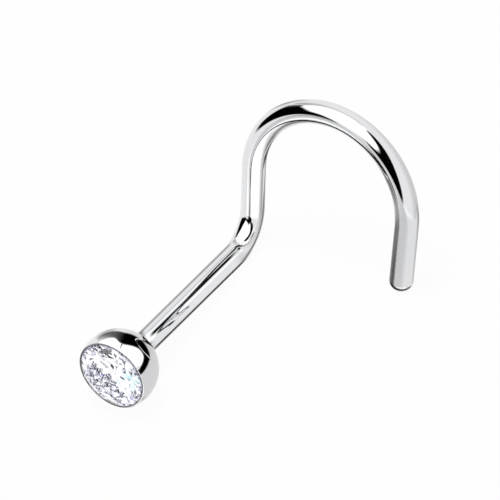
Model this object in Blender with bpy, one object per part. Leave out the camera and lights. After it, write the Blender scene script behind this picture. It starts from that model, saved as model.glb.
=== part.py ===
# Nose screw stud: a faceted clear stone set flush in a polished steel ball,
# soldered to a wire that runs back as a straight post, bends and curls round
# into an open hook with a rounded tip. It lies on a flat surface as it would
# by itself, on the ball, the bend and the tip. Metres, +Z up.
import math

import bmesh
import bpy
from mathutils import Matrix, Vector

MM = 0.001

# Wire, 20 gauge. Its lengths and radii are taken on its centreline.
WIRE_DIAMETER = 0.80 * MM
POST_LENGTH = 6.55 * MM  # back of the ball to the corner of the bend
BEND_RADIUS = 1.34 * MM
BEND_ANGLE = math.radians(82.3)
HOOK_LEAD = 1.55 * MM  # straight piece between the bend and the curl
CURL_RADIUS = 2.95 * MM
CURL_ANGLE = math.radians(183.0)
TAIL_LENGTH = 2.45 * MM  # end of the curl to the very tip
TIP_FLAT_DIAMETER = 0.12 * MM  # flat left in the middle of the rounded tip
SOLDER_FILLET = 0.06 * MM  # where the post meets the ball

# Round brilliant stone
STONE_DIAMETER = 2.44 * MM
TABLE_DIAMETER = 1.54 * MM  # across the corners of the table
CROWN_HEIGHT = 0.24 * MM
GIRDLE_THICKNESS = 0.05 * MM
PAVILION_DEPTH = 1.06 * MM
STAR_REACH = 0.50  # share of the way from table to girdle that the stars reach
LOWER_REACH = 0.77  # share of the way from girdle to culet of the lower halves
MAINS = 8

# Ball with its bezel seat
STONE_CLEARANCE = 0.010 * MM  # all round the stone
RIM_WIDTH = 0.016 * MM  # metal between the girdle's bore and the rim's outer edge
GIRDLE_SINK = 0.025 * MM  # girdle below the ball's front face, under the pressed rim
FACE_DISTANCE = 0.405 * MM  # front face to the ball's centre
SEAT_HOLE_DIAMETER = 1.20 * MM  # drilled under the seat
SEAT_HOLE_ROOM = 0.08 * MM  # drill's point below the culet
DRILL_POINT_SLOPE = math.radians(31.0)

SIDES = 32  # round the wire, the ball and its seat
GIRDLE_SIDES = 64
BALL_STEPS = 14
FILLET_STEPS = 4
BEND_STEP = math.radians(8.0)
CURL_STEP = math.radians(5.5)
TIP_STEPS = 5
SMOOTH_UP_TO = math.radians(25)  # flatter edges of the steel are shaded round
TOUCHING = 1e-9  # a corner this near a cut lies on it
LAYING_TRIES = 20

STEEL = {"colour": (0.80, 0.80, 0.81, 1.0), "metallic": 1.0, "roughness": 0.06}
CRYSTAL = {"colour": (0.93, 0.95, 1.0, 1.0), "metallic": 0.0, "roughness": 0.0}

wire_radius = WIRE_DIAMETER / 2
stone_radius = STONE_DIAMETER / 2
crown_slope = CROWN_HEIGHT / (stone_radius - TABLE_DIAMETER / 2)
pavilion_slope = PAVILION_DEPTH / stone_radius
tip_rounding = wire_radius - TIP_FLAT_DIAMETER / 2
bore_radius = (stone_radius + STONE_CLEARANCE) / math.cos(math.pi / SIDES)
rim_radius = bore_radius + RIM_WIDTH
ball_radius = math.hypot(rim_radius, FACE_DISTANCE)
girdle_top = -FACE_DISTANCE + GIRDLE_SINK  # along the post's axis, +Y
girdle_foot = girdle_top + GIRDLE_THICKNESS
culet = girdle_foot + PAVILION_DEPTH
post_straight = POST_LENGTH - BEND_RADIUS * math.tan(BEND_ANGLE / 2)


def start_empty():
    for thing in list(bpy.data.objects):
        bpy.data.objects.remove(thing)


def material(name, look):
    made = bpy.data.materials.new(name)
    made.use_nodes = True
    shader = made.node_tree.nodes["Principled BSDF"]
    shader.inputs["Base Color"].default_value = look["colour"]
    shader.inputs["Metallic"].default_value = look["metallic"]
    shader.inputs["Roughness"].default_value = look["roughness"]
    made.diffuse_color = look["colour"]
    return made


def mesh_object(name, shape, look):
    """An object from a bmesh, with its faces pointing out."""
    bmesh.ops.recalc_face_normals(shape, faces=shape.faces)
    mesh = bpy.data.meshes.new(name)
    shape.to_mesh(mesh)
    shape.free()
    mesh.materials.append(look)
    made = bpy.data.objects.new(name, mesh)
    bpy.context.scene.collection.objects.link(made)
    return made


# The wire's route, in the bench frame: the ball's centre at the origin, the
# post along +Y, the bend towards +Z, the curl towards +X.


def arc(place, along, inward, radius, angle, step):
    """Frames (place, along) on an arc that turns towards inward, start left out."""
    count = max(2, round(angle / step))
    centre = place + inward * radius
    frames = []
    for i in range(1, count + 1):
        turned = angle * i / count
        spot = centre - inward * radius * math.cos(turned) + along * radius * math.sin(turned)
        frames.append((spot, along * math.cos(turned) + inward * math.sin(turned)))
    return frames


def wire_route():
    """Frames (place, along) on the wire's centreline, from the ball's back to the tip."""
    back, rise, side = Vector((0, 1, 0)), Vector((0, 0, 1)), Vector((1, 0, 0))
    route = [(back * (ball_radius + post_straight), back)]
    route += arc(route[-1][0], back, rise, BEND_RADIUS, BEND_ANGLE, BEND_STEP)
    corner, climb = route[-1]
    route.append((corner + climb * HOOK_LEAD, climb))
    route += arc(route[-1][0], climb, side, CURL_RADIUS, CURL_ANGLE, CURL_STEP)
    curl_end, drop = route[-1]
    route.append((curl_end + drop * (TAIL_LENGTH - tip_rounding), drop))
    return route


def ring(shape, place, along, side, radius):
    """SIDES vertices round a place on the route."""
    other = along.cross(side)
    turns = [2 * math.pi * i / SIDES for i in range(SIDES)]
    return [
        shape.verts.new(place + (side * math.cos(t) + other * math.sin(t)) * radius)
        for t in turns
    ]


def bridge(shape, first, second):
    for i in range(SIDES):
        j = (i + 1) % SIDES
        shape.faces.new((first[i], first[j], second[j], second[i]))


def seat_profile():
    """(radius, y) inside the ball, from the drill's point out to the front face."""
    hole = SEAT_HOLE_DIAMETER / 2
    cone_gap = STONE_CLEARANCE * math.hypot(1, pavilion_slope)
    point = culet + SEAT_HOLE_ROOM
    lip_radius = bore_radius - GIRDLE_SINK / crown_slope
    return [
        (hole, point - hole * math.tan(DRILL_POINT_SLOPE)),
        (hole, girdle_foot + (stone_radius - hole) * pavilion_slope + cone_gap),
        (bore_radius, girdle_foot + cone_gap),
        (bore_radius, girdle_top),
        (lip_radius, -FACE_DISTANCE),
    ]


def ball_profile():
    """(radius, y) outside, from the rim round the ball and out along the solder fillet."""
    inner = wire_radius + SOLDER_FILLET
    reach = ball_radius + SOLDER_FILLET
    fillet_y = math.sqrt(reach**2 - inner**2)
    rim_turn = math.atan2(rim_radius, -FACE_DISTANCE)
    join_turn = math.atan2(inner, fillet_y)
    profile = []
    for i in range(BALL_STEPS + 1):
        turn = rim_turn + (join_turn - rim_turn) * i / BALL_STEPS
        profile.append((ball_radius * math.sin(turn), ball_radius * math.cos(turn)))
    start = math.pi + join_turn
    for i in range(1, FILLET_STEPS + 1):
        turn = start + (1.5 * math.pi - start) * i / FILLET_STEPS
        profile.append(
            (inner + SOLDER_FILLET * math.sin(turn), fillet_y + SOLDER_FILLET * math.cos(turn))
        )
    return profile


def steel_stud(look):
    """Seat, ball, post, hook and tip as one skin of rings carried along the wire."""
    shape = bmesh.new()
    back, side = Vector((0, 1, 0)), Vector((1, 0, 0))
    rings = [
        ring(shape, back * y, back, side, radius)
        for radius, y in seat_profile() + ball_profile()
    ]
    drill_point = shape.verts.new(back * (culet + SEAT_HOLE_ROOM))
    along_before = back
    for place, along in wire_route():
        side = along_before.rotation_difference(along) @ side
        rings.append(ring(shape, place, along, side, wire_radius))
        along_before = along
    for i in range(1, TIP_STEPS + 1):
        turn = math.pi / 2 * i / TIP_STEPS
        radius = wire_radius - tip_rounding * (1 - math.cos(turn))
        rings.append(ring(shape, place + along * tip_rounding * math.sin(turn), along, side, radius))
    for first, second in zip(rings, rings[1:]):
        bridge(shape, first, second)
    for i in range(SIDES):
        shape.faces.new((rings[0][(i + 1) % SIDES], rings[0][i], drill_point))
    shape.faces.new(rings[-1])
    stud = mesh_object("steel_stud", shape, look)
    stud.data.shade_smooth()
    stud.data.set_sharp_from_angle(angle=SMOOTH_UP_TO)
    return stud


# The stone is ground from a round blank, one flat facet at a time. Its own
# frame has +Z out of the table and the girdle's top plane at z = 0.


def facet_tiers():
    """Three points on the plane of the first facet of each tier."""
    half = math.pi / MAINS

    def at(radius, turn, z):
        return Vector((radius * math.cos(turn), radius * math.sin(turn), z))

    table = at(TABLE_DIAMETER / 2, 0, CROWN_HEIGHT)
    girdle = at(stone_radius, 0, 0)
    star_radius = TABLE_DIAMETER / 2 + STAR_REACH * (stone_radius - TABLE_DIAMETER / 2)
    star_z = (stone_radius - star_radius * math.cos(half)) * crown_slope
    star = at(star_radius, half, star_z)
    foot = -GIRDLE_THICKNESS
    low_girdle = at(stone_radius, 0, foot)
    low_radius = (1 - LOWER_REACH) * stone_radius
    low_z = foot - (stone_radius - low_radius * math.cos(half)) * pavilion_slope
    low = at(low_radius, half, low_z)
    point = at(0, 0, foot - PAVILION_DEPTH)
    return {
        "crown main": (table, girdle, girdle + Vector((0, 1, 0))),
        "star": (table, at(TABLE_DIAMETER / 2, 2 * half, CROWN_HEIGHT), star),
        "upper half": (girdle, star, at(stone_radius, half, 0)),
        "lower half": (low_girdle, low, at(stone_radius, half, foot)),
        "pavilion main": (point, low_girdle, low_girdle + Vector((0, 1, 0))),
    }


def grind(shape, point, outward):
    """Cuts away what lies outside a plane and closes the cut with one flat facet."""
    parts = shape.verts[:] + shape.edges[:] + shape.faces[:]
    done = bmesh.ops.bisect_plane(
        shape, geom=parts, dist=TOUCHING, plane_co=point, plane_no=outward, clear_outer=True
    )
    edges = [e for e in done["geom_cut"] if isinstance(e, bmesh.types.BMEdge) and e.is_boundary]
    if edges:
        bmesh.ops.contextual_create(shape, geom=edges)


def stone(look):
    shape = bmesh.new()
    top, foot = CROWN_HEIGHT, -GIRDLE_THICKNESS - PAVILION_DEPTH
    bmesh.ops.create_cone(
        shape, cap_ends=True, segments=GIRDLE_SIDES, radius1=stone_radius,
        radius2=stone_radius, depth=top - foot,
        matrix=Matrix.Translation((0, 0, (top + foot) / 2)),
    )
    flip = Matrix.Diagonal((1, -1, 1))
    for tier, (a, b, c) in facet_tiers().items():
        outward = (b - a).cross(c - a).normalized()
        middle = (a + b + c) / 3
        if outward.dot(Vector((middle.x, middle.y, 0))) < 0:
            outward.negate()
        for i in range(MAINS):
            turn = Matrix.Rotation(2 * math.pi * i / MAINS, 3, "Z")
            grind(shape, turn @ a, turn @ outward)
            if tier in ("upper half", "lower half"):
                grind(shape, turn @ flip @ a, turn @ flip @ outward)
    to_seat = Matrix.Translation((0, girdle_top, 0)) @ Matrix.Rotation(math.pi / 2, 4, "X")
    bmesh.ops.transform(shape, matrix=to_seat, verts=shape.verts)
    return mesh_object("stone", shape, look)


# Laying the stud down: the surface touches the lowest point of the ball, of
# the bend and of the tail. The post and the bend are on one side of the
# curl's centre, and the tail is on the other.


def resting_up(corners):
    """Upward normal of the surface in the bench frame, from the steel's corners."""
    ball = [c for c in corners if c.y < ball_radius]
    bend = [c for c in corners if c.y > ball_radius and c.x < CURL_RADIUS]
    tail = [c for c in corners if c.x > CURL_RADIUS]
    up = Vector((0, 0, 1))
    for _ in range(LAYING_TRIES):
        first, second, third = [min(group, key=up.dot) for group in (ball, bend, tail)]
        up = (third - first).cross(second - first).normalized()
    return up


def lying_matrix(steel, gem):
    """Bench frame to the surface: the middle of the stud's box over the origin, lowest at z = 0."""
    up = resting_up([v.co for v in steel.data.vertices])
    back = Vector((0, 1, 0))
    forward = (back - up * back.dot(up)).normalized()
    turn = Matrix((forward.cross(up), forward, up)).to_4x4()
    laid = [turn @ v.co for part in (steel, gem) for v in part.data.vertices]
    low = [min(c[i] for c in laid) for i in range(3)]
    high = [max(c[i] for c in laid) for i in range(3)]
    shift = Vector((-(low[0] + high[0]) / 2, -(low[1] + high[1]) / 2, -low[2]))
    return Matrix.Translation(shift) @ turn


def main():
    start_empty()
    steel = steel_stud(material("polished_steel", STEEL))
    gem = stone(material("clear_crystal", CRYSTAL))
    laid = bpy.data.objects.new("laid_down", None)
    bpy.context.scene.collection.objects.link(laid)
    laid.matrix_world = lying_matrix(steel, gem)
    steel.parent = laid
    gem.parent = laid


main()
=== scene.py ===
# A nose stud with a hooked wire, dressed for a close studio photograph. The stone keeps its
# CAD facets and gets its finish here. The steel is drawn again as one smooth closed skin, from
# the same measures. Lengths are in mm until they go into a mesh, a light or a material.
import math
import bpy
import numpy as np
from mathutils import Matrix


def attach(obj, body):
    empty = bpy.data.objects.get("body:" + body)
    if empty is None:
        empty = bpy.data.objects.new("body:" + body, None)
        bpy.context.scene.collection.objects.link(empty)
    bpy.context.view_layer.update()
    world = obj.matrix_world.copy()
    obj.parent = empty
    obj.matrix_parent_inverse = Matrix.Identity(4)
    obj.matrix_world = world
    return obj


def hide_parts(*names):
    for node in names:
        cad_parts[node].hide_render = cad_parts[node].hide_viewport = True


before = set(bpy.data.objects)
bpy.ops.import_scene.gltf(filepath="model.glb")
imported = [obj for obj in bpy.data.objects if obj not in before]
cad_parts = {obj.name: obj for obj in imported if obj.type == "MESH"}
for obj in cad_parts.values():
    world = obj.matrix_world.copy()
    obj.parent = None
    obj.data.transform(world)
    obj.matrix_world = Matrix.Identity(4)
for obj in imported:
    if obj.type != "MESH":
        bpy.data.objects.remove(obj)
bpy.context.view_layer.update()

mm = 0.001


def linear(hexColour):
    # sRGB hex to linear RGBA
    parts = [int(hexColour[i : i + 2], 16) / 255 for i in (1, 3, 5)]
    return [p / 12.92 if p <= 0.04045 else ((p + 0.055) / 1.055) ** 2.4 for p in parts] + [1.0]


def addNode(tree, kind, settings=None, sockets=None):
    # settings are the node's own fields; each of the sockets gets a value or a node's output
    node = tree.nodes.new(kind)
    for name, value in (settings or {}).items():
        setattr(node, name, value)
    for name, value in (sockets or {}).items():
        if isinstance(value, bpy.types.NodeSocket):
            tree.links.new(value, node.inputs[name])
        else:
            node.inputs[name].default_value = value
    return node


def newMaterial(name):
    # a material with no nodes yet, and its node tree
    material = bpy.data.materials.new(name)
    material.use_nodes = True
    material.node_tree.nodes.clear()
    return material, material.node_tree


def meshPiece(name, points, faces, material):
    # a mesh object from points in metres and faces of point numbers
    mesh = bpy.data.meshes.new(name)
    mesh.from_pydata(points, [], faces)
    mesh.validate()
    mesh.materials.append(material)
    piece = bpy.data.objects.new(name, mesh)
    bpy.context.scene.collection.objects.link(piece)
    return piece


def gridFaces(rows, columns, closed):
    # four corners for each cell of a rows by columns grid of points, numbered row by row; where
    # closed, the last column joins the first
    i = np.arange(rows - 1)[:, None]
    j = np.arange(columns if closed else columns - 1)[None, :]
    k = (j + 1) % columns
    corners = (i * columns + j, i * columns + k, (i + 1) * columns + k, (i + 1) * columns + j)
    return np.stack([np.broadcast_to(c, (rows - 1, j.size)) for c in corners], -1).reshape(-1, 4)


# Where part.py lays the stud: the surface's upward normal in the bench frame, and the
# place of the ball's centre in the row frame, in mm. Bench frame: post along +Y from the
# ball's centre, bend towards +Z, curl towards +X.
laying = {
    "up": (-0.05854156, -0.13473734, 0.98915052),
    "ballCentre": (-2.57019512, -4.48038103, 1.31353631),
}
up = np.array(laying["up"]) / np.linalg.norm(laying["up"])
forward = np.array([0.0, 1.0, 0.0]) - up * up[1]
forward /= np.linalg.norm(forward)
benchToRow = np.array([np.cross(forward, up), forward, up])
ballCentre = np.array(laying["ballCentre"])


# The steel: seat, ball, post, bend, curl and tip
stud = {
    "wireDiameter": 0.80,
    "postLength": 6.55,  # back of the ball to the corner of the bend
    "bendRadius": 1.34,
    "bendAngle": 82.3,
    "hookLead": 1.55,  # straight piece between the bend and the curl
    "curlRadius": 2.95,
    "curlAngle": 183.0,
    "tailLength": 2.45,
    "tipFlat": 0.12,
    "solderFillet": 0.06,
    "ballRadius": 1.3158,
    "faceDistance": 0.405,  # front face to the ball's centre
    "stoneRadius": 1.22,
    "crownHeight": 0.24,
    "tableRadius": 0.77,
    "girdleThickness": 0.05,
    "pavilionDepth": 1.06,
    "girdleSink": 0.025,
    "seatClearance": 0.012,
    "lipRounding": 0.010,  # burnished edge of the rim
    "seatHoleRadius": 0.60,
    "seatHoleRoom": 0.08,
    "drillSlope": 31.0,
    "insideCad": 0.9915,  # the CAD skin has flats, and a round one this much thinner stays within it
    "around": 128,
    "lipSteps": 6,
    "ballSteps": 64,
    "filletSteps": 8,
    "bendSteps": 44,
    "curlSteps": 130,
    "tipSteps": 16,
    "smoothUpTo": 24.0,  # degrees; sharper edges stay sharp
}


def studProfile(s):
    # (radius, y) round the post's axis, from the drill's point up the seat, over the rounded
    # lip and round the ball to the fillet: straight lines in the seat, circle arcs outside
    crownSlope = s["crownHeight"] / (s["stoneRadius"] - s["tableRadius"])
    pavilionSlope = s["pavilionDepth"] / s["stoneRadius"]
    girdleTop = -s["faceDistance"] + s["girdleSink"]
    girdleFoot = girdleTop + s["girdleThickness"]
    point = girdleFoot + s["pavilionDepth"] + s["seatHoleRoom"]
    hole, bore = s["seatHoleRadius"], s["stoneRadius"] + s["seatClearance"]
    gap = s["seatClearance"] * math.hypot(1, pavilionSlope)
    lip = bore - s["girdleSink"] / crownSlope
    seat = [
        (0.0, point),
        (hole, point - hole * math.tan(math.radians(s["drillSlope"]))),
        (hole, girdleFoot + (s["stoneRadius"] - hole) * pavilionSlope + gap),
        (bore, girdleFoot + gap),
        (bore, girdleTop),
        (lip, -s["faceDistance"]),
    ]
    ball, fillet = s["ballRadius"], s["solderFillet"]
    inner = s["wireDiameter"] / 2 + fillet
    filletY = math.sqrt((ball + fillet) ** 2 - inner**2)
    join = math.atan2(inner, filletY)
    rimTurn = math.acos(-s["faceDistance"] / ball) - s["lipRounding"] / ball
    rimRadius = ball * math.sin(rimTurn)
    turns = np.linspace(0, 1, s["lipSteps"] + 1)[1:-1] * math.pi / 2
    corner = np.c_[
        rimRadius - s["lipRounding"] * (1 - np.sin(turns)),
        -s["faceDistance"] + s["lipRounding"] * (1 - np.cos(turns)),
    ]
    outside = np.linspace(rimTurn, join, s["ballSteps"] + 1)
    globe = np.c_[ball * np.sin(outside), ball * np.cos(outside)]
    sweep = np.linspace(math.pi + join, 1.5 * math.pi, s["filletSteps"] + 1)[1:]
    solder = np.c_[inner + fillet * np.sin(sweep), filletY + fillet * np.cos(sweep)]
    return np.vstack([seat, corner, globe, solder])


def studSkin(s):
    # rings of a radius square to a centreline: the profile turned about the post's axis, then
    # the wire's circle carried along the post, a turn of bendAngle in the YZ plane, a lead
    # and a turn of curlAngle in the plane of the lead and X, and shrunk to a point at the tip
    x, y, z = np.eye(3)
    wire = s["wireDiameter"] / 2
    profile = studProfile(s)
    places, alongs, sides, radii = [profile[:, 1:] * y], [y], [x], [profile[:, 0]]
    counts = [len(profile)]

    def carry(points, along, side, radius):
        points = np.atleast_2d(points)
        places.append(points)
        alongs.append(along)
        sides.append(side)
        radii.append(np.broadcast_to(radius, len(points)))
        counts.append(len(points))

    bendAngle, curlAngle = math.radians(s["bendAngle"]), math.radians(s["curlAngle"])
    straight = s["postLength"] - s["bendRadius"] * math.tan(bendAngle / 2)
    here = y * (s["ballRadius"] + straight)
    carry(here, y, x, wire)
    turn = np.linspace(0, bendAngle, s["bendSteps"] + 1)[1:, None]
    points = here + s["bendRadius"] * (y * np.sin(turn) + z * (1 - np.cos(turn)))
    carry(points, y * np.cos(turn) + z * np.sin(turn), x, wire)
    climb = y * math.cos(bendAngle) + z * math.sin(bendAngle)
    here = points[-1] + climb * s["hookLead"]
    carry(here, climb, x, wire)
    turn = np.linspace(0, curlAngle, s["curlSteps"] + 1)[1:, None]
    points = here + s["curlRadius"] * (climb * np.sin(turn) + x * (1 - np.cos(turn)))
    drop = climb * np.cos(turn) + x * np.sin(turn)
    inward = x * np.cos(turn) - climb * np.sin(turn)
    carry(points, drop, inward, wire)
    drop, inward = drop[-1], inward[-1]
    rounding = wire - s["tipFlat"] / 2
    here = points[-1] + drop * (s["tailLength"] - rounding)
    carry(here, drop, inward, wire)
    turn = np.linspace(0, math.pi / 2, s["tipSteps"] + 1)[1:, None]
    shrunk = (wire - rounding * (1 - np.cos(turn)))[:, 0]
    carry(here + drop * rounding * np.sin(turn), drop, inward, shrunk)
    carry(here + drop * rounding, drop, inward, 0.0)

    def stacked(parts):
        return np.vstack([np.broadcast_to(p, (n, 3)) for p, n in zip(parts, counts)])

    centre, along, side = stacked(places), stacked(alongs), stacked(sides)
    radius = np.concatenate(radii) * s["insideCad"]
    around = 2 * math.pi * np.arange(s["around"])[:, None] / s["around"]
    spoke = side[:, None] * np.cos(around) + np.cross(along, side)[:, None] * np.sin(around)
    return centre[:, None] + radius[:, None, None] * spoke


def closedSkin(name, rings, material):
    # the first and last rings are poles: each is one vertex with a fan of triangles
    rows, columns = rings.shape[:2]
    points = np.vstack([rings[0, :1], rings[1:-1].reshape(-1, 3), rings[-1, :1]])
    quads = gridFaces(rows - 2, columns, True) + 1
    j = np.arange(columns)
    k = (j + 1) % columns
    last = len(points) - 1
    firstFan = np.c_[np.zeros_like(j), 1 + k, 1 + j]
    lastFan = np.c_[np.full_like(j, last), last - columns + j, last - columns + k]
    faces = firstFan.tolist() + quads.tolist() + lastFan.tolist()
    return meshPiece(name, points, faces, material)


# Polished surgical steel, drawn wire and a turned ball buffed to a mirror: the eye sees what
# stands round it, sharp and a little grey. Its buffing marks are hair-fine and only show close up
steelLook = {
    "bright": "#EBEBEC",
    "shade": "#DFE0E2",
    "roughness": (0.018, 0.05),
    "hazeSize": 1.6,  # mm, patches where the buff pressed harder
    "hazeRange": (0.35, 0.75),  # of the noise, where the roughness starts to grow and is full
    "markSpacing": 0.03,  # mm, buffing marks
    "markDepth": 0.00004,  # mm
}


def mirrorPolishedSteel(look):
    # roughness and tint follow a slow noise, and a fine noise dents the surface
    material, tree = newMaterial("mirrorPolishedSteel")
    coordinate = addNode(tree, "ShaderNodeTexCoord").outputs["Object"]
    haze = addNode(tree, "ShaderNodeTexNoise", sockets={
        "Vector": coordinate, "Scale": 1 / (look["hazeSize"] * mm), "Detail": 3.0, "Roughness": 0.6,
    })
    marks = addNode(tree, "ShaderNodeTexNoise", sockets={
        "Vector": coordinate, "Scale": 1 / (look["markSpacing"] * mm), "Detail": 2.0, "Roughness": 0.7,
    })
    gloss = addNode(tree, "ShaderNodeMapRange", sockets={
        "Value": haze.outputs["Fac"],
        "From Min": look["hazeRange"][0], "From Max": look["hazeRange"][1],
        "To Min": look["roughness"][0], "To Max": look["roughness"][1],
    })
    tint = addNode(tree, "ShaderNodeMixRGB", sockets={
        "Fac": haze.outputs["Fac"], "Color1": linear(look["bright"]), "Color2": linear(look["shade"]),
    })
    bump = addNode(tree, "ShaderNodeBump", sockets={
        "Height": marks.outputs["Fac"], "Strength": 1.0, "Distance": look["markDepth"] * mm,
    })
    shader = addNode(tree, "ShaderNodeBsdfPrincipled", sockets={
        "Metallic": 1.0, "Base Color": tint.outputs["Color"], "Roughness": gloss.outputs["Result"],
        "Normal": bump.outputs["Normal"],
    })
    addNode(tree, "ShaderNodeOutputMaterial", sockets={"Surface": shader.outputs["BSDF"]})
    return material


rings = studSkin(stud) @ benchToRow.T + ballCentre
steelPiece = closedSkin("polishedStud", rings * mm, mirrorPolishedSteel(steelLook))
steelPiece.data.shade_smooth()
steelPiece.data.set_sharp_from_angle(angle=math.radians(stud["smoothUpTo"]))
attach(steelPiece, "root")
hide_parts("steel_stud")
print("steel stud made")


# Cubic zirconia, grown from a melt, cut and polished facet by facet, and silvered on the back
# as a foiled stone is: white and very bright, with dark facets only where they look past the
# light, a few tints, and a painted shade ring under the rim, darker glass colour near the edge
stoneLook = {
    "ior": 2.175,
    "body": "#FFFFFF",
    # edge is painted shade: the glass colour near the rim, darkened where the bezel shades the stone
    "edge": "#ABAAB8",
    "paintedShadeRing": (1.10, 1.18),  # mm from the middle, where the rim's shade starts and is full
    "silver": "#FEFEFF",
    "silverStart": -0.378,  # mm along the post's axis from the ball's centre, at the girdle
}


def cubicZirconia(look):
    # glass with painted shade by its distance from the post's axis, darker towards the rim, and a mirror
    # from silverStart backwards
    material, tree = newMaterial("cubicZirconia")
    turned = addNode(tree, "ShaderNodeMapping", {"vector_type": "TEXTURE"}, {
        "Vector": addNode(tree, "ShaderNodeTexCoord").outputs["Object"],
        "Location": (ballCentre * mm).tolist(),
        "Rotation": Matrix(benchToRow.tolist()).to_euler(),
    }).outputs["Vector"]  # the bench frame, from the ball's centre
    along = addNode(tree, "ShaderNodeSeparateXYZ", sockets={"Vector": turned}).outputs["Y"]
    flat = addNode(tree, "ShaderNodeVectorMath", {"operation": "MULTIPLY"}, {0: turned, 1: (1, 0, 1)})
    away = addNode(tree, "ShaderNodeVectorMath", {"operation": "LENGTH"}, {0: flat.outputs["Vector"]})
    # painted shade: the glass turns to the edge colour towards the rim, standing in for the bezel's
    # shadow
    paintedRimShade = addNode(tree, "ShaderNodeMapRange", {"interpolation_type": "SMOOTHSTEP"}, {
        "Value": away.outputs["Value"],
        "From Min": look["paintedShadeRing"][0] * mm, "From Max": look["paintedShadeRing"][1] * mm,
    })
    body = addNode(tree, "ShaderNodeMixRGB", sockets={
        "Fac": paintedRimShade.outputs["Result"], "Color1": linear(look["body"]), "Color2": linear(look["edge"]),
    })
    polished = addNode(tree, "ShaderNodeBsdfGlass", sockets={
        "Color": body.outputs["Color"], "Roughness": 0.0, "IOR": look["ior"],
    })
    silver = addNode(tree, "ShaderNodeBsdfPrincipled", sockets={
        "Base Color": linear(look["silver"]), "Metallic": 1.0, "Roughness": 0.0,
    })
    back = addNode(tree, "ShaderNodeMath", {"operation": "GREATER_THAN"}, {
        0: along, 1: look["silverStart"] * mm,
    })
    whole = addNode(tree, "ShaderNodeMixShader", sockets={
        0: back.outputs["Value"], 1: polished.outputs["BSDF"], 2: silver.outputs["BSDF"],
    })
    addNode(tree, "ShaderNodeOutputMaterial", sockets={"Surface": whole.outputs["Shader"]})
    return material


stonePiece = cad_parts["stone"]
stoneMaterial = cubicZirconia(stoneLook)
for materialSlot in stonePiece.material_slots:
    materialSlot.material = stoneMaterial
print("stone finished")


# The camera, far off with a very long lens, at the photograph's angle
view = {
    "azimuth": 41.19,
    "elevation": 41.92,
    "roll": 13.17,
    "lens": 500.0,
    "clip": (0.005, 5.0),  # m
    "frameWidth": 16.077,  # mm across the picture at the stud
    "ballFromMiddle": (4.226, 3.819),  # mm left of and below the middle of the picture
    "bounces": 32,  # light turns many times inside the stone
}


def cameraAxes(v):
    # right, up and towards the camera, as unit vectors
    a, e, r = (math.radians(v[k]) for k in ("azimuth", "elevation", "roll"))
    towards = np.array([math.sin(a) * math.cos(e), -math.cos(a) * math.cos(e), math.sin(e)])
    level = np.array([math.cos(a), math.sin(a), 0.0])
    upright = np.cross(towards, level)
    return (
        level * math.cos(r) - upright * math.sin(r),
        level * math.sin(r) + upright * math.cos(r),
        towards,
    )


axes = np.array(cameraAxes(view))
middle = ballCentre + axes[0] * view["ballFromMiddle"][0] + axes[1] * view["ballFromMiddle"][1]
camera = bpy.data.objects.new("camera", bpy.data.cameras.new("camera"))
camera.data.lens = view["lens"]
camera.data.clip_start, camera.data.clip_end = view["clip"]
distance = view["frameWidth"] / camera.data.sensor_width * view["lens"]
turned = Matrix([list(row) for row in axes.T]).to_4x4()
camera.matrix_world = Matrix.Translation(((middle + axes[2] * distance) * mm).tolist()) @ turned
bpy.context.scene.collection.objects.link(camera)
bpy.context.scene.camera = camera
bpy.context.scene.view_settings.view_transform = "Standard"
for kind in ("max_bounces", "glossy_bounces", "transmission_bounces"):
    setattr(bpy.context.scene.cycles, kind, view["bounces"])
print("camera placed")


# The studio: a white tent over a pale table, with black flags and white cards hung far out in
# it, which draw the dark and bright shapes in the polish. Aims are directions of any length
tent = {
    "walls": 0.99,
    "far": 0.72,  # the dimmer side, away from the camera to the right
    "farTowards": (0.80, -0.10, -0.62),  # right, up, towards the camera
    "farEdge": (0.3, 1.0),  # cosines where it starts and is full
    "box": 1.42,  # the large soft box, behind the camera to the left
    "boxTowards": (-0.47, 0.36, 0.80),
    "boxEdge": (0.60, 0.76),
    "table": 0.35,  # what lights the table, besides the overhead box
    "inWire": 0.03,  # steel mirrored in steel looks out on a dark room, all but to the left
    "inWireTowards": (0.92, 0.30, 0.22),  # in the row frame
    "inWireEdge": (-0.26, 0.02),
    "stone": 1.36,  # what the stone's facets look out on
    "camera": 1.05,  # the backdrop
}
# what some of the facets look out on, in the bench frame: aim, edge cosines and colour
stoneViews = [
    ((0.85, -0.45, -0.30), (0.94, 0.97), "#1C1C20"),
    ((0.35, -0.40, -0.85), (0.94, 0.97), "#202126"),
    ((-0.50, -0.50, 0.70), (0.96, 0.985), "#A5D6DE"),
    ((0.10, -0.50, 0.85), (0.95, 0.98), "#B9BBE4"),
]


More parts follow.
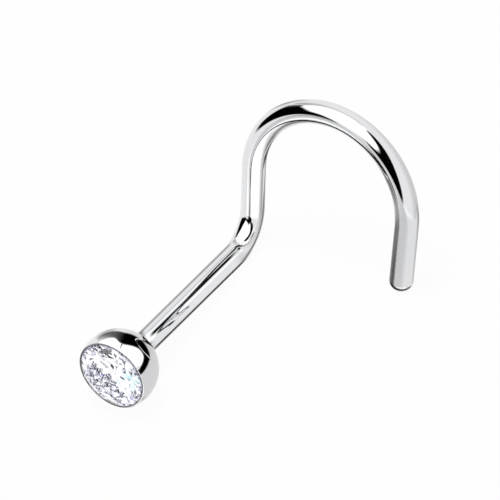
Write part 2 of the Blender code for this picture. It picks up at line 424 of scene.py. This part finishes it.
def whiteTent(t, views):
    # light by direction and kind of ray: the walls' level, led over in turn to each share's own
    world = bpy.data.worlds.new("whiteTent")
    world.use_nodes = True
    tree = world.node_tree
    tree.nodes.clear()
    direction = addNode(tree, "ShaderNodeTexCoord").outputs["Generated"]
    path = addNode(tree, "ShaderNodeLightPath").outputs

    def patch(aim, edge):
        # 1 round the aim and 0 far from it, by the cosine between it and the ray
        aim = (np.array(aim) / np.linalg.norm(aim)).tolist()
        dot = addNode(tree, "ShaderNodeVectorMath", {"operation": "DOT_PRODUCT"}, {0: direction, 1: aim})
        return addNode(tree, "ShaderNodeMapRange", {"interpolation_type": "SMOOTHSTEP"}, {
            "Value": dot.outputs["Value"], "From Min": edge[0], "From Max": edge[1],
        }).outputs["Result"]

    twice = addNode(tree, "ShaderNodeMath", {"operation": "GREATER_THAN"}, {
        0: path["Glossy Depth"], 1: 1.5,
    })
    inWire = addNode(tree, "ShaderNodeMath", {"operation": "MULTIPLY"}, {
        0: twice.outputs["Value"], 1: patch(t["inWireTowards"], t["inWireEdge"]),
    })
    shares = [
        (patch(t["farTowards"] @ axes, t["farEdge"]), t["far"]),
        (patch(t["boxTowards"] @ axes, t["boxEdge"]), t["box"]),
        (path["Is Diffuse Ray"], t["table"]),
        (inWire.outputs["Value"], t["inWire"]),
        (path["Is Transmission Ray"], t["stone"]),
        (path["Is Camera Ray"], t["camera"]),
    ]
    bright = t["walls"]
    for share, full in shares:  # each takes over from what came before it
        bright = addNode(tree, "ShaderNodeMapRange", sockets={
            "Value": share, "To Min": bright, "To Max": full,
        }).outputs["Result"]
    colour = linear("#FFFFFF")
    for aim, edge, tint in views:
        share = addNode(tree, "ShaderNodeMath", {"operation": "MULTIPLY"}, {
            0: patch(benchToRow @ aim, edge), 1: path["Is Transmission Ray"],
        })
        colour = addNode(tree, "ShaderNodeMixRGB", sockets={
            "Fac": share.outputs["Value"], "Color1": colour, "Color2": linear(tint),
        }).outputs["Color"]
    background = addNode(tree, "ShaderNodeBackground", sockets={"Strength": bright, "Color": colour})
    addNode(tree, "ShaderNodeOutputWorld", sockets={"Surface": background.outputs["Background"]})
    return world


bpy.context.scene.world = whiteTent(tent, stoneViews)
print("tent lit")


def studioCloth(names):
    # black cloth and white card whose edges fade out. It shows only in a first reflection, by how
    # far the ray's length is off throw: whole up to give, and gone from end on
    material, tree = newMaterial("studioCloth")
    cover, light, throw, give, end = (
        addNode(tree, "ShaderNodeAttribute", {"attribute_name": name}).outputs["Fac"] for name in names
    )
    path = addNode(tree, "ShaderNodeLightPath").outputs
    over = addNode(tree, "ShaderNodeMath", {"operation": "SUBTRACT"}, {0: path["Ray Length"], 1: throw})
    off = addNode(tree, "ShaderNodeMath", {"operation": "ABSOLUTE"}, {0: over.outputs["Value"]})
    seen = addNode(tree, "ShaderNodeMapRange", {"interpolation_type": "SMOOTHSTEP"}, {
        "Value": off.outputs["Value"], "From Min": give, "From Max": end, "To Min": 1.0, "To Max": 0.0,
    })
    first = addNode(tree, "ShaderNodeMath", {"operation": "LESS_THAN"}, {0: path["Glossy Depth"], 1: 1.5})
    share = cover
    for part in (seen.outputs["Result"], first.outputs["Value"]):
        product = addNode(tree, "ShaderNodeMath", {"operation": "MULTIPLY"}, {0: share, 1: part})
        share = product.outputs["Value"]
    clear = addNode(tree, "ShaderNodeBsdfTransparent")
    solid = addNode(tree, "ShaderNodeEmission", sockets={"Color": linear("#FFFFFF"), "Strength": light})
    mixed = addNode(tree, "ShaderNodeMixShader", sockets={
        0: share, 1: clear.outputs["BSDF"], 2: solid.outputs["Emission"],
    })
    addNode(tree, "ShaderNodeOutputMaterial", sockets={"Surface": mixed.outputs["Shader"]})
    material.cycles.emission_sampling = "NONE"
    return material


def mirrored(normals, centre, startRadius, cardRadius):
    # the point where the ray that a mirror ball of startRadius sends off at a normal crosses a
    # sphere of cardRadius round the same centre
    n = np.c_[normals, np.sqrt(np.clip(1 - (normals**2).sum(1), 0, 1))]
    sent = 2 * n[:, 2:] * n - [0, 0, 1]
    lean = startRadius * n[:, 2]
    reach = -lean + np.sqrt(lean**2 - startRadius**2 + cardRadius**2)
    return centre + (startRadius * n + reach[:, None] * sent) @ axes


cardMaking = {
    "steps": 80,  # along a card
    "columns": 27,  # across it
    "thinnest": 0.004,  # half width
    "softAtMost": 0.9,  # share of the half width that the soft edge may take
    "fadeStart": 0.2,  # how far inside the half width the fade starts, in soft edges
    "reach": 0.995,  # how far out a card may go, where 1 is the mirror ball's outline
    "layerGap": 2.0,  # mm
}


def cardGrid(line, edge, centre, startRadius, cardRadius, c):
    # a band along a line of (right, up, half width, cover), smoothed by a Catmull-Rom curve, and
    # carried on to a sphere by mirrored(); its cover falls evenly to nothing over the soft edge
    line = np.array(line, float)
    padded = np.vstack([2 * line[0] - line[1], line, 2 * line[-1] - line[-2]])
    t = np.linspace(0, len(line) - 1, c["steps"])
    i = np.minimum(t.astype(int), len(line) - 2)
    f = (t - i)[:, None]
    p, q, r, s = padded[i], padded[i + 1], padded[i + 2], padded[i + 3]
    curve = 2 * q + (r - p) * f + (2 * p - 5 * q + 4 * r - s) * f**2 + (3 * q - p - 3 * r + s) * f**3
    curve = curve / 2
    along = np.gradient(curve[:, :2], axis=0)
    along /= np.linalg.norm(along, axis=1, keepdims=True)
    across = np.c_[-along[:, 1], along[:, 0]]
    half = np.maximum(curve[:, 2:3], c["thinnest"])
    soft = np.minimum(edge, half * c["softAtMost"])
    offsets = (half + soft) * np.linspace(-1, 1, c["columns"])
    chart = curve[:, None, :2] + across[:, None] * offsets[:, :, None]
    out = np.linalg.norm(chart, axis=2, keepdims=True)
    chart = chart * c["reach"] / np.maximum(out, c["reach"])
    faded = np.clip((half + soft - np.abs(offsets)) / ((1 + c["fadeStart"]) * soft), 0, 1)
    cover = np.clip(curve[:, 3:4], 0, 1) * faded
    cover[[0, -1]] = 0
    return mirrored(chart.reshape(-1, 2), centre, startRadius, cardRadius), cover.ravel(), offsets.shape


def onPath(y, z=0.0, x=0.0):
    # a place on the wire, from the bench frame
    return benchToRow @ np.array([x, y, z]) + ballCentre


# Where a group of cards is seen from: the place, the radius of the mirror ball there, how far
# off the cards hang, how much shorter the rays are, by how much that varies, and over how much
# more they fade from sight. All in mm
seenFrom = {
    "wire": (onPath(7.5, 3.2, 2.95), 0.0, 130.0, 0.0, 1000.0, 1.0),
    "ballRim": (ballCentre, stud["ballRadius"], 86.0, 0.65, 0.45, 0.25),
    "ball": (ballCentre, stud["ballRadius"], 90.0, 0.95, 0.35, 0.25),
    "rim": (ballCentre, 0.0, 94.0, 0.25, 0.95, 0.2),
    "post": (onPath(4.0), 0.0, 100.0, 0.2, 1.5, 0.5),
    "bend": (onPath(7.58, 0.33), 0.0, 100.0, 0.2, 0.8, 0.4),
    "tail": (onPath(8.05, 1.36, 5.83), 0.0, 100.0, 0.2, 0.6, 0.9),
    "tip": (onPath(7.93, 0.35, 5.77), 0.0, 100.0, 0.2, 0.45, 0.6),
}
# Each card: where it is seen from, its layer, of which 0 hangs nearest, its glow, its soft edge,
# and its line of (right, up, half width, cover). The line and widths are as a mirror ball would
# show them in this view, from -1 to 1 across it.
cards = {
    "leftFlag": ("wire", 0, 0.0, 0.025, [
        (-0.53, 0.56, 0.05, 0.5), (-0.58, 0.47, 0.06, 0.9), (-0.63, 0.37, 0.08, 1.0),
        (-0.665, 0.25, 0.11, 1.0), (-0.69, 0.12, 0.13, 1.0), (-0.675, 0.0, 0.125, 1.0),
        (-0.61, -0.10, 0.095, 1.0), (-0.55, -0.20, 0.05, 1.0), (-0.52, -0.27, 0.01, 0.8),
    ]),
    "lowerFlag": ("wire", 0, 0.0, 0.025, [
        (-0.38, -0.22, 0.05, 1.0), (-0.29, -0.27, 0.10, 1.0), (-0.17, -0.27, 0.13, 1.0),
        (-0.06, -0.18, 0.12, 1.0), (0.03, -0.06, 0.10, 1.0), (0.09, 0.06, 0.09, 1.0),
        (0.115, 0.18, 0.08, 1.0), (0.11, 0.29, 0.06, 1.0), (0.105, 0.38, 0.02, 0.7),
    ]),
    "upperShade": ("wire", 0, 0.0, 0.025, [
        (-0.50, 0.57, 0.05, 0.55), (-0.42, 0.62, 0.06, 0.45), (-0.28, 0.63, 0.06, 0.32),
        (-0.12, 0.60, 0.05, 0.25), (0.02, 0.53, 0.05, 0.22), (0.09, 0.44, 0.04, 0.3),
    ]),
    "rimShade": ("wire", 0, 0.0, 0.025, [
        (-0.66, 0.68, 0.03, 0.2), (-0.52, 0.80, 0.05, 0.4), (-0.38, 0.87, 0.05, 0.4),
        (-0.2, 0.92, 0.03, 0.2),
    ]),
    "lowerRim": ("wire", 0, 0.0, 0.03, [
        (0.90, -0.10, 0.03, 0.3), (0.87, -0.30, 0.05, 0.6), (0.75, -0.55, 0.05, 0.6),
        (0.60, -0.70, 0.05, 0.55), (0.42, -0.80, 0.04, 0.6), (0.20, -0.87, 0.03, 0.6),
        (0.0, -0.89, 0.03, 0.6), (-0.2, -0.87, 0.04, 0.7), (-0.38, -0.80, 0.05, 0.6),
        (-0.52, -0.70, 0.05, 0.3), (-0.6, -0.62, 0.04, 0.2),
    ]),
    "lowerRimShade": ("wire", 1, 0.0, 0.10, [
        (0.92, 0.0, 0.04, 0.1), (0.84, -0.30, 0.06, 0.35), (0.72, -0.46, 0.08, 0.35),
        (0.56, -0.62, 0.07, 0.3), (0.36, -0.75, 0.05, 0.2), (0.1, -0.82, 0.05, 0.15),
        (-0.15, -0.82, 0.05, 0.15),
    ]),
    "lowerLeftFlag": ("wire", 0, 0.0, 0.05, [
        (-0.90, -0.30, 0.03, 0.3), (-0.80, -0.42, 0.06, 0.7), (-0.72, -0.46, 0.06, 0.75),
        (-0.64, -0.45, 0.04, 0.8), (-0.58, -0.42, 0.02, 0.6),
    ]),
    "lowerBox": ("wire", 2, 1.4, 0.06, [
        (-0.60, -0.42, 0.06, 0.0), (-0.45, -0.50, 0.12, 1.0), (-0.2, -0.58, 0.14, 1.0),
        (0.1, -0.60, 0.15, 1.0), (0.33, -0.56, 0.12, 1.0), (0.48, -0.49, 0.08, 0.6),
        (0.60, -0.44, 0.06, 0.0),
    ]),
    "arch": ("ballRim", 0, 0.0, 0.025, [
        (-0.52, 0.69, 0.03, 0.4), (-0.41, 0.77, 0.05, 0.6), (-0.25, 0.83, 0.06, 0.8),
        (-0.06, 0.84, 0.08, 0.9), (0.12, 0.76, 0.13, 1.0), (0.28, 0.72, 0.13, 1.0),
        (0.43, 0.66, 0.11, 1.0), (0.56, 0.57, 0.09, 1.0), (0.655, 0.44, 0.075, 1.0),
        (0.70, 0.30, 0.07, 1.0), (0.675, 0.16, 0.065, 1.0), (0.61, 0.02, 0.06, 1.0),
        (0.53, -0.09, 0.05, 1.0), (0.48, -0.15, 0.02, 0.9),
    ]),
    "archSplit": ("ball", 0, 0.0, 0.025, [
        (0.09, 0.62, 0.014, 1.0), (0.065, 0.56, 0.010, 0.8), (0.04, 0.50, 0.008, 0.5),
    ]),
    "ballBox": ("ball", 1, 1.45, 0.025, [
        (-0.46, 0.56, 0.16, 1.0), (-0.2, 0.62, 0.18, 1.0), (0.1, 0.5, 0.22, 1.0), (0.35, 0.33, 0.26, 1.0),
        (0.42, 0.05, 0.2, 1.0),
    ]),
    "ballSide": ("ballRim", 2, 0.80, 0.06, [
        (0.84, 0.45, 0.08, 0.0), (0.89, 0.30, 0.10, 0.9), (0.87, 0.10, 0.14, 1.0),
        (0.84, -0.12, 0.18, 1.0), (0.77, -0.33, 0.21, 1.0), (0.67, -0.50, 0.21, 1.0),
        (0.56, -0.62, 0.17, 0.9), (0.47, -0.71, 0.12, 0.0),
    ]),
    "rimFlag": ("rim", 0, 0.12, 0.03, [
        (-0.66, -0.44, 0.08, 0.9), (-0.55, -0.54, 0.10, 0.9), (-0.44, -0.63, 0.08, 0.9),
    ]),
    "postLine": ("post", 0, 0.0, 0.035, [
        (0.31, 0.44, 0.08, 1.0), (0.38, 0.51, 0.085, 1.0), (0.46, 0.59, 0.085, 1.0),
    ]),
    "postEdge": ("post", 0, 0.0, 0.04, [
        (-0.34, 0.78, 0.05, 0.3), (-0.38, 0.86, 0.05, 0.3), (-0.42, 0.93, 0.05, 0.3),
    ]),
    "postShade": ("post", 0, 0.0, 0.03, [
        (0.02, 0.66, 0.02, 0.4), (0.07, 0.73, 0.02, 0.4), (0.12, 0.8, 0.02, 0.4),
    ]),
    "postRim": ("post", 0, 0.0, 0.03, [
        (0.80, -0.42, 0.04, 0.8), (0.83, -0.44, 0.05, 0.9), (0.88, -0.45, 0.05, 0.8),
    ]),
    "postGleam": ("post", 1, 1.4, 0.02, [
        (0.50, 0.28, 0.05, 1.0), (0.56, 0.34, 0.05, 1.0), (0.62, 0.40, 0.05, 1.0),
    ]),
    "postGleam2": ("post", 1, 1.3, 0.02, [
        (0.16, 0.60, 0.03, 1.0), (0.22, 0.66, 0.03, 1.0), (0.28, 0.72, 0.03, 1.0),
    ]),
    "postWall": ("post", 2, 1.0, 0.03, [
        (0.48, 0.44, 0.09, 1.0), (0.56, 0.34, 0.09, 1.0), (0.65, 0.22, 0.09, 1.0),
        (0.73, 0.08, 0.09, 1.0), (0.79, -0.07, 0.09, 1.0), (0.82, -0.18, 0.08, 1.0),
        (0.83, -0.29, 0.06, 0.8), (0.83, -0.35, 0.05, 0.0),
    ]),
    "bendLoop": ("bend", 0, 0.0, 0.02, [
        (-0.52, -0.20, 0.03, 1.0), (-0.48, -0.21, 0.03, 1.0), (-0.39, -0.21, 0.03, 1.0),
        (-0.28, -0.215, 0.025, 0.95), (-0.15, -0.235, 0.025, 0.9), (0.0, -0.235, 0.035, 0.95),
        (0.12, -0.20, 0.07, 1.0), (0.22, -0.13, 0.085, 1.0), (0.26, -0.02, 0.07, 1.0),
        (0.25, 0.09, 0.06, 1.0), (0.22, 0.20, 0.055, 1.0), (0.20, 0.29, 0.045, 1.0),
        (0.17, 0.38, 0.02, 0.5),
    ]),
    "bendBox": ("bend", 1, 1.4, 0.03, [
        (-0.2, 0.0, 0.24, 1.0), (0.0, 0.05, 0.32, 1.0), (0.2, 0.1, 0.34, 1.0), (0.35, 0.12, 0.3, 1.0),
    ]),
    "tailLine": ("tail", 0, 0.0, 0.14, [
        (-0.72, -0.14, 0.13, 0.72), (-0.78, -0.28, 0.13, 0.74), (-0.85, -0.42, 0.13, 0.72),
    ]),
    "tailShade": ("tail", 1, 0.0, 0.28, [
        (-0.30, -0.34, 0.30, 0.22), (-0.36, -0.48, 0.30, 0.22), (-0.42, -0.62, 0.30, 0.22),
    ]),
    "tailEdge": ("tail", 0, 0.0, 0.05, [
        (0.80, -0.40, 0.04, 0.1), (0.89, -0.30, 0.07, 0.3), (0.96, -0.20, 0.09, 0.5),
        (1.0, -0.08, 0.09, 0.6),
    ]),
    "tailRim": ("tail", 0, 0.0, 0.04, [
        (-0.88, -0.05, 0.09, 0.6), (-0.94, -0.13, 0.09, 0.6), (-0.99, -0.22, 0.09, 0.6),
    ]),
    "tailWall": ("tail", 2, 0.93, 0.03, [
        (0.99, -0.15, 0.12, 1.0), (0.90, -0.29, 0.12, 1.0), (0.77, -0.39, 0.10, 1.0),
        (0.46, -0.51, 0.10, 1.0), (0.05, -0.55, 0.10, 1.0), (-0.34, -0.49, 0.10, 1.0),
        (-0.68, -0.36, 0.10, 1.0), (-0.92, -0.16, 0.10, 1.0),
    ]),
    "tipShade": ("tip", 0, 0.0, 0.10, [
        (-0.90, -0.26, 0.06, 0.5), (-0.80, -0.50, 0.12, 0.9), (-0.64, -0.69, 0.13, 0.95),
        (-0.40, -0.84, 0.12, 0.9), (-0.1, -0.91, 0.10, 0.8), (0.25, -0.89, 0.09, 0.7),
        (0.5, -0.78, 0.07, 0.55), (0.7, -0.62, 0.05, 0.3),
    ]),
}


def hangCards(cards, seenFrom, making):
    # all the cards as one mesh, a grid each, with their values as attributes, lengths in metres
    points, faces, count = [], [], 0
    values = {"cover": [], "glow": [], "throw": [], "give": [], "end": []}
    for place, layer, glow, edge, line in cards.values():
        centre, startRadius, hangs, shorter, give, fade = seenFrom[place]
        hangs += making["layerGap"] * layer
        grid, cover, shape = cardGrid(line, edge, centre, startRadius, hangs, making)
        points.append(grid)
        faces.append(gridFaces(*shape, False) + count)
        count += len(grid)
        card = (cover, glow, (hangs - shorter) * mm, give * mm, (give + fade) * mm)
        for name, value in zip(values, card):
            values[name].append(np.broadcast_to(value, len(grid)))
    cloth = studioCloth(list(values))
    piece = meshPiece("studioCards", np.vstack(points) * mm, np.vstack(faces).tolist(), cloth)
    for name, parts in values.items():
        attribute = piece.data.attributes.new(name, "FLOAT", "POINT")
        attribute.data.foreach_set("value", np.concatenate(parts))
    for ray in ("camera", "diffuse", "transmission", "shadow", "volume_scatter"):
        setattr(piece, "visible_" + ray, False)  # the cards show in the polish and nowhere else


hangCards(cards, seenFrom, cardMaking)
print("cards hung")


# The table: a sheet of matt white acrylic. The camera sees it burnt out to white, as in the
# photograph, with a trace of the stud's own soft shade
table = {
    "radius": 250.0,
    "corners": 96,
    "colour": "#F4F4F3",
    "roughness": 0.6,
    "grainSize": 0.4,
    "grainDepth": 0.002,
    "whitened": 1.0,
    "shadowKept": 0.05,  # share of the sheet's own look that the camera sees
}


def mattAcrylic(t):
    # a grained white sheet, of which the camera sees shadowKept, mixed with an even white
    material, tree = newMaterial("mattAcrylic")
    grain = addNode(tree, "ShaderNodeTexNoise", sockets={
        "Vector": addNode(tree, "ShaderNodeTexCoord").outputs["Object"],
        "Scale": 1 / (t["grainSize"] * mm), "Detail": 2.0,
    })
    bump = addNode(tree, "ShaderNodeBump", sockets={
        "Height": grain.outputs["Fac"], "Strength": 0.1, "Distance": t["grainDepth"] * mm,
    })
    plain = addNode(tree, "ShaderNodeBsdfPrincipled", sockets={
        "Roughness": t["roughness"], "Base Color": linear(t["colour"]), "Normal": bump.outputs["Normal"],
    })
    burnt = addNode(tree, "ShaderNodeEmission", sockets={
        "Color": linear("#FFFFFF"), "Strength": t["whitened"],
    })
    share = addNode(tree, "ShaderNodeMapRange", sockets={
        "Value": addNode(tree, "ShaderNodeLightPath").outputs["Is Camera Ray"],
        "To Min": 0.0, "To Max": 1 - t["shadowKept"],
    })
    mixed = addNode(tree, "ShaderNodeMixShader", sockets={
        0: share.outputs["Result"], 1: plain.outputs["BSDF"], 2: burnt.outputs["Emission"],
    })
    addNode(tree, "ShaderNodeOutputMaterial", sockets={"Surface": mixed.outputs["Shader"]})
    return material


turns = 2 * math.pi * np.arange(table["corners"]) / table["corners"]
rim = np.c_[np.cos(turns), np.sin(turns), 0 * turns] * table["radius"] * mm
tableTop = meshPiece("tableTop", rim, [list(range(table["corners"]))], mattAcrylic(table))
tableTop.visible_glossy = False
tableTop.visible_transmission = False

# one round soft box overhead lights the table alone; the steel shows the tent instead
overhead = {
    "place": (-6.0, 4.0, 60.0),
    "size": 26.0,
    "power": 0.02,  # W
}
lamp = bpy.data.lights.new("overheadBox", "AREA")
lamp.shape = "DISK"
lamp.size = overhead["size"] * mm
lamp.energy = overhead["power"]
lampObject = bpy.data.objects.new("overheadBox", lamp)
lampObject.location = [v * mm for v in overhead["place"]]
for ray in ("camera", "glossy", "transmission"):
    setattr(lampObject, "visible_" + ray, False)
bpy.context.scene.collection.objects.link(lampObject)
print("table laid")
